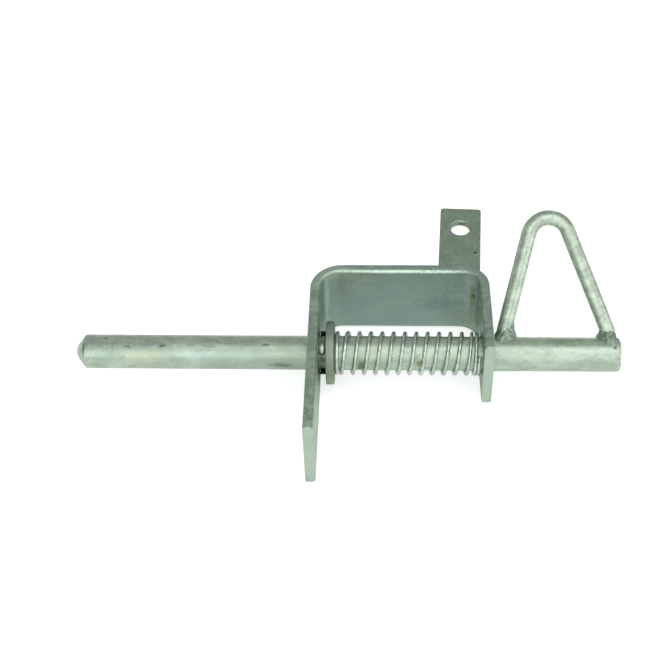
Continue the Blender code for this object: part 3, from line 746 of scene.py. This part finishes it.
def coil_rate(turn):
    """How far the coil has opened after its start and is still open before its end, at a turn of the wire."""
    opening = smooth_step((turn - SPRING_OPENS_AFTER) / SPRING_OPENS_OVER)
    closing = smooth_step((SPRING_TURNS - SPRING_CLOSED_TURNS - turn) / SPRING_CLOSES_OVER)
    return opening, closing


def make_coil_spring(material):
    """Left-hand coil, spun round the bolt with its own advance at every step."""
    count = round(SPRING_TURNS * SPRING_STEPS)
    rates = [coil_rate((i + 0.5) / SPRING_STEPS) for i in range(count)]
    closed_run = sum((1 - closing) * SPRING_CLOSED_PITCH for _, closing in rates) / SPRING_STEPS
    open_run = sum(opening * closing for opening, closing in rates) / SPRING_STEPS
    pitch = (SPRING_END_X - SPRING_START_X - closed_run) / open_run
    bm = bmesh.new()
    bmesh.ops.create_circle(bm, cap_ends=False, segments=16, radius=SPRING_WIRE_RADIUS)
    bmesh.ops.translate(bm, verts=bm.verts, vec=(SPRING_START_X, BOLT_Y + SPRING_COIL_RADIUS, BOLT_Z))
    start_angle = SPRING_END_ANGLE + 2 * math.pi * SPRING_TURNS
    bmesh.ops.rotate(bm, verts=bm.verts, cent=BOLT_AXIS, matrix=Matrix.Rotation(start_angle, 3, "X"))
    loop = bm.edges[:]
    for opening, closing in rates:
        advance = (pitch * opening * closing + (1 - closing) * SPRING_CLOSED_PITCH) / SPRING_STEPS
        made = bmesh.ops.spin(
            bm, geom=loop, cent=BOLT_AXIS, axis=ALONG_X, angle=-2 * math.pi / SPRING_STEPS, steps=1,
            dvec=(advance, 0.0, 0.0),
        )
        loop = [item for item in made["geom_last"] if isinstance(item, bmesh.types.BMEdge)]
    for vert in bm.verts:
        near_end = min(vert.co.x - SPRING_START_X, SPRING_END_X - vert.co.x) / SPRING_END_FADE
        free = min(max(near_end, 0.0), 1.0)
        around = math.atan2(vert.co.z - BOLT_Z, vert.co.y - BOLT_Y)
        vert.co.x += free * (COIL_SHIFT + COIL_LEAN * math.cos(around - COIL_LEAN_ANGLE))
    close_ends(bm)
    ends = [edge for face in bm.faces if len(face.verts) > 4 for edge in face.edges]
    bmesh.ops.bevel(bm, geom=ends, offset=SPRING_TIP_ROUND, segments=1, profile=0.5, affect="EDGES", material=-1)
    spring = finish_piece("coil_spring", bm, material, "bracket", "spring")
    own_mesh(spring)


# Handle and its welds


def handle_path():
    """The loop's middle line in its own plane: X along the bolt, Y out from its axis."""
    middle_x = (HANDLE_INNER_X + HANDLE_OUTER_X) / 2
    centre = Vector((middle_x - HANDLE_PEAK_SHIFT, HANDLE_HEIGHT - HANDLE_BEND_RADIUS, 0.0))
    feet = []
    tangents = []
    for foot_x, side in ((HANDLE_INNER_X, -1), (HANDLE_OUTER_X, 1)):
        foot = Vector((foot_x, BOLT_RADIUS, 0.0))
        away = foot - centre
        angle = math.atan2(away.y, away.x) + side * math.acos(HANDLE_BEND_RADIUS / away.length)
        tangent = centre + HANDLE_BEND_RADIUS * Vector((math.cos(angle), math.sin(angle), 0.0))
        direction = (tangent - foot).normalized()
        feet.append(foot - direction * FOOT_SINK)
        tangents.append(angle)
    bend = arc(centre, HANDLE_BEND_RADIUS, tangents[0] % (2 * math.pi), tangents[1], HANDLE_BEND_STEP)
    return run(feet[0], bend[0], HANDLE_STEP) + bend[:-1] + run(bend[-1], feet[1], HANDLE_STEP) + [feet[1]]


def handle_to_place(bm):
    turn = Matrix.Rotation(HANDLE_LIFT, 4, "X")
    bmesh.ops.transform(bm, matrix=Matrix.Translation(BOLT_AXIS) @ turn, verts=bm.verts)


def trimmed(x):
    """The outer foot is ground back beside the bolt's end, with a soft edge."""
    over = (x - FOOT_TRIM_X) / FOOT_TRIM_SOFTNESS + 1
    return x if over <= 0 else FOOT_TRIM_X - FOOT_TRIM_SOFTNESS * math.exp(-over)


def make_loop_handle(material):
    path = handle_path()
    bm = bmesh.new()
    bmesh.ops.create_circle(bm, cap_ends=False, segments=40, radius=HANDLE_RADIUS)
    lean = UPWARD.rotation_difference(path[1] - path[0]).to_matrix()
    bmesh.ops.rotate(bm, verts=bm.verts, matrix=lean)
    bmesh.ops.translate(bm, verts=bm.verts, vec=path[0])
    pull_along(bm, bm.edges[:], path)
    close_ends(bm)
    bmesh.ops.recalc_face_normals(bm, faces=bm.faces)
    for vert in bm.verts:
        vert.co.x = trimmed(vert.co.x)
    uneven(bm, depth=0.06 * MM, size=5 * MM, seed=23.0)
    handle_to_place(bm)
    finish_piece("loop_handle", bm, material, "bolt", "handle")


def by_side(side, sizes):
    """One of three sizes, for the tail's side, the two flanks and the bracket's side, blended between them."""
    tail, flank, bracket = sizes
    return flank + (tail - flank) * max(side, 0) ** 2 + (bracket - flank) * max(-side, 0) ** 2


def order_of(vert, order):
    """The place in the row below of the corner that this one was pulled from."""
    return next(order[edge.other_vert(vert)] for edge in vert.link_edges if edge.other_vert(vert) in order)


def make_foot_weld(name, node, foot_x, lean, toes, climbs, seed, material):
    """A lumpy fillet round one foot, from the bar down to the bolt's round back.

    The toes are how far it spreads over the bolt and the climbs how high it stands on the bar.
    """
    slant = math.hypot(1.0, lean)
    bm = bmesh.new()
    bmesh.ops.create_circle(bm, cap_ends=False, segments=72, radius=1.0)
    angles = [math.atan2(vert.co.y, vert.co.x) for vert in bm.verts]
    loop = bm.edges[:]
    rows = [list(bm.verts)]
    for _ in range(WELD_RINGS):
        order = {vert: i for i, vert in enumerate(rows[-1])}
        verts, loop = pull_step(bm, loop)
        rows.append(sorted(verts, key=lambda vert: order_of(vert, order)))
    for row, verts in enumerate(rows):
        share = row / WELD_RINGS
        for vert, angle in zip(verts, angles):
            side = math.cos(angle)
            toe = by_side(side, toes)
            lump = noise.noise(Vector((2.2 * math.cos(angle), 2.2 * math.sin(angle), seed + 1.3 * share)))
            blob = noise.noise(Vector((5.5 * math.cos(angle), 5.5 * math.sin(angle), seed + 4.0 * share)))
            scale = 1.0 + 0.2 * lump + 0.2 * blob + 0.05 * math.sin(11 * angle + 5 * share + seed)
            spread = HANDLE_RADIUS + toe * scale * (1 - share) ** WELD_HOLLOW - WELD_SINK_IN_BAR * share
            climb = by_side(side, climbs) * (1 + 0.2 * lump)
            z = spread * math.sin(angle)
            ground = math.sqrt(max(BOLT_RADIUS**2 - z**2, 0.0)) - (WELD_SINK if row == 0 else 0.0)
            height = ground + climb * max(share - 1 / WELD_RINGS, 0.0)
            x = foot_x + (height - BOLT_RADIUS) * lean + spread * side * slant
            vert.co = (trimmed(x - WELD_OVER_TRIM) + WELD_OVER_TRIM, height, z)
    close_ends(bm)
    bmesh.ops.recalc_face_normals(bm, faces=bm.faces)
    uneven(bm, depth=0.4 * MM, size=1.8 * MM, seed=seed)
    handle_to_place(bm)
    finish_piece(name, bm, material, "bolt", node, sharp=math.pi)


# Table and light


def white_floor():
    bm = bmesh.new()
    bmesh.ops.create_grid(bm, x_segments=1, y_segments=1, size=FLOOR_HALF_SIZE)
    bmesh.ops.translate(bm, verts=bm.verts, vec=(0.0, 0.0, FLOOR_Z))
    mesh = bpy.data.meshes.new("floor")
    bm.to_mesh(mesh)
    bm.free()
    floor = bpy.data.objects.new("floor", mesh)
    bpy.context.scene.collection.objects.link(floor)
    material = bpy.data.materials.new("white_table")
    material.use_nodes = True
    tree = material.node_tree
    shader = tree.nodes["Principled BSDF"]
    shader.inputs["Base Color"].default_value = (FLOOR_WHITE, FLOOR_WHITE, FLOOR_WHITE, 1.0)
    shader.inputs["Roughness"].default_value = 0.9
    shader.inputs["Specular IOR Level"].default_value = 0.0
    shader.inputs["Emission Color"].default_value = (1.0, 1.0, 1.0, 1.0)
    path = add_node(tree, "ShaderNodeLightPath")
    seen = arithmetic(tree, "MAXIMUM", path.outputs["Is Camera Ray"], path.outputs["Is Glossy Ray"])
    seen = arithmetic(tree, "MAXIMUM", seen, path.outputs["Is Transmission Ray"])
    glow = arithmetic(tree, "MULTIPLY", seen, FLOOR_GLOW)
    straight = arithmetic(tree, "MULTIPLY", path.outputs["Is Camera Ray"], FLOOR_CAMERA_GLOW)
    glow = arithmetic(tree, "ADD", glow, straight)
    tree.links.new(glow, shader.inputs["Emission Strength"])
    mesh.materials.append(material)


def soft_box(name, place, size, energy):
    data = bpy.data.lights.new(name, "AREA")
    data.shape = "RECTANGLE"
    data.size, data.size_y = size
    data.energy = energy
    lamp = bpy.data.objects.new(name, data)
    bpy.context.scene.collection.objects.link(lamp)
    lamp.location = place
    lamp.rotation_euler = (Vector(LAMP_TARGET) - Vector(place)).to_track_quat("-Z", "Y").to_euler()


def studio():
    world = bpy.data.worlds.new("studio")
    bpy.context.scene.world = world
    world.use_nodes = True
    tree = world.node_tree
    sky = tree.nodes["Background"]
    path = add_node(tree, "ShaderNodeLightPath")
    colour = mix_colour(tree, path.outputs["Is Camera Ray"], (WORLD_GREY,) * 3, (1.0, 1.0, 1.0))
    tree.links.new(colour, sky.inputs["Color"])
    sky.inputs["Strength"].default_value = 1.0
    for lamp in LAMPS:
        soft_box(*lamp)
    bpy.context.scene.view_settings.view_transform = "Standard"


# The latch on its table

place_camera()
white_floor()
studio()
strip_zinc = galvanised(
    "zinc_strip", (0.28, 0.38, 0.30), (0.44, 0.56, 0.44), along=(0.6, 0.8, 1.0), cloud=8 * MM, mottle=1.8 * MM,
    contrast=(0.44, 0.58), bump=0.4, specks=0.5,
    stains_and_painted_light=(
        # Painted shade: a cooler tone over the inside of the U, across the web, the bends and the legs' inner faces
        (mm(-3, -9, 16), mm(70, 22, 48), SHADE, 0.7),
        # Painted light: the top of the long leg's bend made lighter
        (mm(-34, -4, 40), mm(16, 12, 7), PAINTED_LIGHT_TONE, 0.6),
        (mm(20, -2.4, 18), mm(14, 3, 6), (0.22, 0.30, 0.28), 0.5),
        # Painted light: both legs' end faces made lighter, as lit from the front
        (mm(-41, -99.7, 20), mm(6, 3, 40), PAINTED_LIGHT_TONE, 0.7),
        (mm(41, -51.4, 20), mm(6, 3, 40), PAINTED_LIGHT_TONE, 0.7),
        # Painted highlight: a bright line along the web's rounded inner top edge
        (mm(0, -2.2, 39.6), mm(38, 1.3, 1.5), PAINTED_HIGHLIGHT, 0.9),
        # Painted highlight: a light band down the inner face of the long leg's bend
        (mm(-36.3, -5.8, 24), mm(2.2, 2.8, 20), (0.54, 0.66, 0.58), 0.85),
        (mm(35.4, -4, 26), mm(2.2, 3.4, 12), OLIVE_STREAK, 0.7),
        (mm(35.2, -4, 14), mm(2.4, 4, 7), OLIVE_STREAK, 0.4),
        (mm(35.9, -4, 25.5), mm(1.0, 3, 2), SOOT_AND_SHADE, 0.8),
        # Painted shade: the long leg's inner face near-black above and below the bolt, in the narrow gap beside the
        # washer
        (mm(-38.7, -31.5, 27.5), mm(2.0, 4.4, 5.0), SOOT_AND_SHADE, 1.0),
        (mm(-38.7, -42.8, 12.4), mm(2.0, 4.0, 5.4), SOOT_AND_SHADE, 1.0),
    ),
)
lug_zinc = galvanised(
    "zinc_lug_plate", (0.27, 0.37, 0.28), (0.36, 0.47, 0.37), cloud=8 * MM, mottle=1.8 * MM,
    contrast=(0.42, 0.6), bump=0.35, specks=0.6,
    stains_and_painted_light=((mm(36.6, 11.5, 39), mm(1.3, 1.3, 3), SOOT_AND_SHADE, 0.8),),
)
bead_zinc = galvanised(
    "zinc_bead", (0.21, 0.29, 0.23), (0.60, 0.70, 0.61), cloud=3 * MM, mottle=1.0 * MM, contrast=(0.53, 0.64), bump=0.5,
    roughness=(0.3, 0.45), tint_share=0.08,
)
bolt_zinc = galvanised(
    "zinc_bar", (0.36, 0.46, 0.37), (0.54, 0.65, 0.54), along=(0.5, 1.0, 1.0), roughness=(0.32, 0.46), specks=0.45,
    cloud=6 * MM, mottle=1.6 * MM, contrast=(0.42, 0.6), bump=0.35,
    stains_and_painted_light=(
        (mm(-120, -45, 24), mm(19, 6, 7), (0.62, 0.66, 0.46), 0.35),
        (mm(-98, -45, 24), mm(20, 6, 7), (0.50, 0.66, 0.62), 0.3),
        # Painted shade: the bolt's front darker from the nose side up to the long leg, toning down its highlight
        (mm(-70, -45, 24), mm(34, 8, 9), (0.36, 0.46, 0.38), 0.5),
        (mm(-53, -42, 24), mm(9, 9, 9), (0.36, 0.46, 0.32), 0.5),
        # Painted shade: the bolt near-black in the narrow gap between the long leg and the washer
        (mm(PIN_X / MM, -37.6, 20), mm(3.6, 14, 14), (0.08, 0.10, 0.07), 0.85),
        (mm(-151.4, -40.5, 26.5), mm(0.9, 4, 3), SOOT_AND_SHADE, 0.6),
        (mm(-113.2, -40.6, 27.6), mm(2.2, 0.7, 0.6), SOOT_AND_SHADE, 0.85),
        (mm(-130.4, -40.8, 27.5), mm(1.8, 0.8, 0.6), SOOT_AND_SHADE, 0.5),
        (mm(-140.8, -36.2, 28.0), mm(1.5, 1, 0.8), SOOT_AND_SHADE, 0.5),
        (mm(-63.8, -39.8, 27.8), mm(2.6, 0.9, 0.8), SOOT_AND_SHADE, 0.5),
        (mm(-57.2, -45.7, 20.2), mm(7, 2, 1.8), (0.09, 0.12, 0.06), 0.5),
        (mm(-20.2, -45.6, 21.5), mm(3.6, 4, 5.6), (0.31, 0.37, 0.22), 0.5),
        (mm(-18.6, -45.6, 19.6), mm(2.2, 3, 4.0), (0.08, 0.13, 0.05), 0.7),
        (mm(8.4, -44.9, 23.2), mm(3.2, 4, 5.4), (0.30, 0.33, 0.20), 0.65),
        (mm(9.0, -45.3, 21.6), mm(1.2, 3, 2.0), OLIVE, 0.45),
        (mm(101.2, -40.2, 27.7), mm(1.3, 1.2, 1.0), SOOT_AND_SHADE, 0.7),
    ),
)
handle_zinc = galvanised(
    "zinc_loop", (0.36, 0.45, 0.36), (0.60, 0.71, 0.60), roughness=(0.32, 0.46), cloud=6 * MM, specks=0.6,
    mottle=1.8 * MM, contrast=(0.42, 0.59), bump=0.35,
    stains_and_painted_light=(
        (mm(59.2, 6.7, 64.6), mm(0.7, 2.4, 2.4), SOOT_AND_SHADE, 0.55),
        (mm(62.5, 8.8, 66.5), mm(0.6, 2.0, 2.0), SOOT_AND_SHADE, 0.4),
        (mm(50.5, -28.3, 28.4), mm(6, 4.5, 4.5), (0.27, 0.35, 0.28), 0.6),
        # Painted highlight: a bright lobe on the loop's outer foot
        (mm(98.4, -30.2, 32.6), mm(2.2, 2.4, 2.4), PAINTED_HIGHLIGHT, 0.9),
    ),
)
washer_zinc = galvanised(
    "zinc_washer_face", (0.22, 0.27, 0.20), (0.36, 0.43, 0.34), roughness=(0.45, 0.6), mottle=1.6 * MM,
    stains_and_painted_light=(
        # Painted shade on the rim's upper front
        (mm(-32.6, -47.8, 31.2), mm(2, 7, 7), (0.25, 0.31, 0.24), 0.45),
        # Painted light on the rim's lower front
        (mm(-33.3, -52.5, 15), mm(4, 5, 8), (0.38, 0.46, 0.36), 0.6),
    ),
)
# Near-black wire: dirt, and painted shade in the narrow gap between leg and washer; the eye's crown carries a painted
# highlight
pin_dirt_shade_and_glint = galvanised(
    "pin_wire_dirt_shade_and_glint", (0.025, 0.03, 0.02), (0.06, 0.07, 0.05), mottle=1.0 * MM, specks=0.0,
    stains_and_painted_light=((tuple(PIN_EYE), mm(4.0, 4.0, 4.0), (0.66, 0.74, 0.64), 1.0),),
)
spring_zinc = galvanised(
    "zinc_spring_wire", (0.38, 0.45, 0.38), (0.70, 0.78, 0.70), roughness=(0.12, 0.22), metallic=1.0, specks=0.0,
    mottle=3.0 * MM, bump=0.08,
)

make_bent_strip(strip_zinc)
make_fixing_lug(lug_zinc)
make_lug_bead(bead_zinc)
make_sliding_bolt(bolt_zinc)
make_flat_washer(washer_zinc)
make_split_pin(pin_dirt_shade_and_glint)
make_coil_spring(spring_zinc)
make_loop_handle(handle_zinc)
loop_line = handle_path()
inner_lean = (loop_line[1].x - loop_line[0].x) / (loop_line[1].y - loop_line[0].y)
outer_lean = (loop_line[-2].x - loop_line[-1].x) / (loop_line[-2].y - loop_line[-1].y)
make_foot_weld(
    "inner_foot_weld", "handle_weld_inner", HANDLE_INNER_X, inner_lean, mm(2.7, 2.8, 1.0), mm(9.5, 5.8, 3.0), 0.4,
    bead_zinc,
)
make_foot_weld(
    "outer_foot_weld", "handle_weld_outer", HANDLE_OUTER_X, outer_lean, mm(0.4, 4.0, 3.0), mm(2.0, 4.6, 4.6), 2.1,
    bead_zinc,
)
